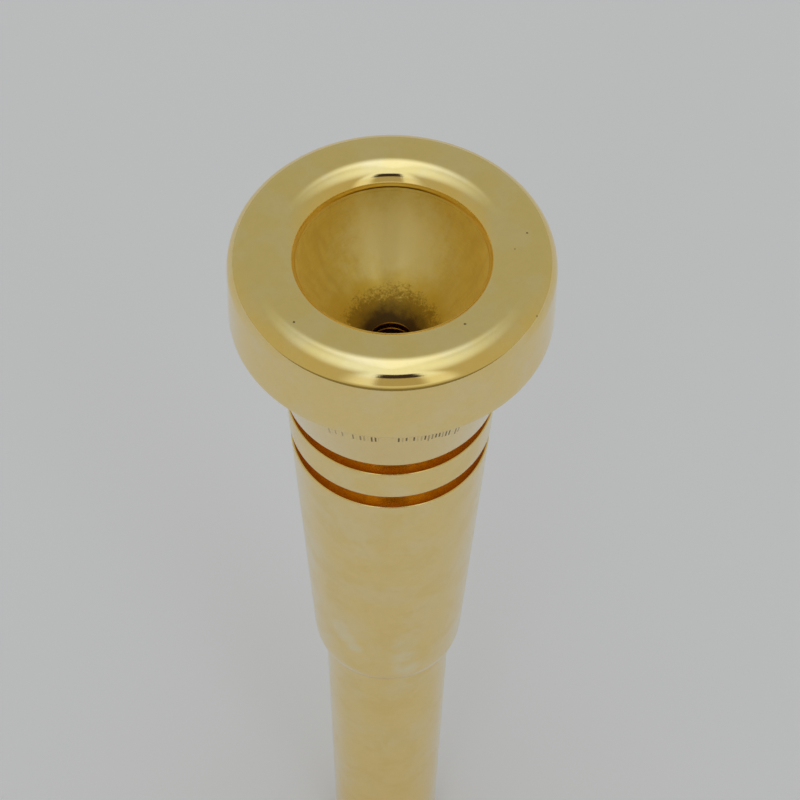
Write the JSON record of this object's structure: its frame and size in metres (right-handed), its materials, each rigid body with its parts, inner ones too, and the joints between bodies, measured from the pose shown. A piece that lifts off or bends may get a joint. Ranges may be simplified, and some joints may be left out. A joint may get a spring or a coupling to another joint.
{
  "type": "trumpet mouthpiece",
  "caption": "Gold-plated brass trumpet mouthpiece with a screw-on rim, a screw-on cup, a tapered shank and a slide-off weight sleeve below twin grooves.",
  "frame": {"origin": "centre of the shank's end face", "axes": "+Z along the bore from the shank's end to the rim"},
  "size_m": [0.027, 0.027, 0.087],
  "materials": {
    "polished_gold_plate": "mirror polished gold plate",
    "satin_gold_plate": "satin turned gold plate in the bowl, polished outside",
    "gold_plate": "polished gold plate, slightly clouded",
    "seal_rubber": "matt black rubber"
  },
  "bodies": {
    "backbore": {"backbore_shank": "gold_plate", "sleeve_oring_upper": "seal_rubber", "sleeve_oring_lower": "seal_rubber"},
    "sleeve": {"weight_sleeve": "gold_plate"},
    "cup_seal_ring": {"cup_seal": "seal_rubber"},
    "cup": {"cup": "satin_gold_plate"},
    "rim_seal_ring": {"rim_seal": "seal_rubber"},
    "rim": {"rim": "polished_gold_plate"}
  },
  "joints": [
    {"name": "sleeve_slide", "type": "slide", "parent": "backbore", "child": "sleeve", "axis": [0, 0, -1], "range_m": [0, 0.0324]},
    {"name": "cup_lift", "type": "slide", "parent": "backbore", "child": "cup_seal_ring", "axis": [0, 0, 1], "range_m": [0, 0.005]},
    {"name": "cup_turn", "type": "hinge", "parent": "cup_seal_ring", "child": "cup", "pos_m": [0, 0, 0.072], "axis": [0, 0, 1], "range_deg": [0, 1800]},
    {"name": "rim_lift", "type": "slide", "parent": "cup", "child": "rim_seal_ring", "axis": [0, 0, 1], "range_m": [0, 0.0045]},
    {"name": "rim_turn", "type": "hinge", "parent": "rim_seal_ring", "child": "rim", "pos_m": [0, 0, 0.083], "axis": [0, 0, 1], "range_deg": [0, 1620]}
  ],
  "couplings": [
    {"joint": "cup_turn", "follows": "cup_lift", "rad_per_m": 6283.2},
    {"joint": "rim_turn", "follows": "rim_lift", "rad_per_m": 6283.2}
  ]
}
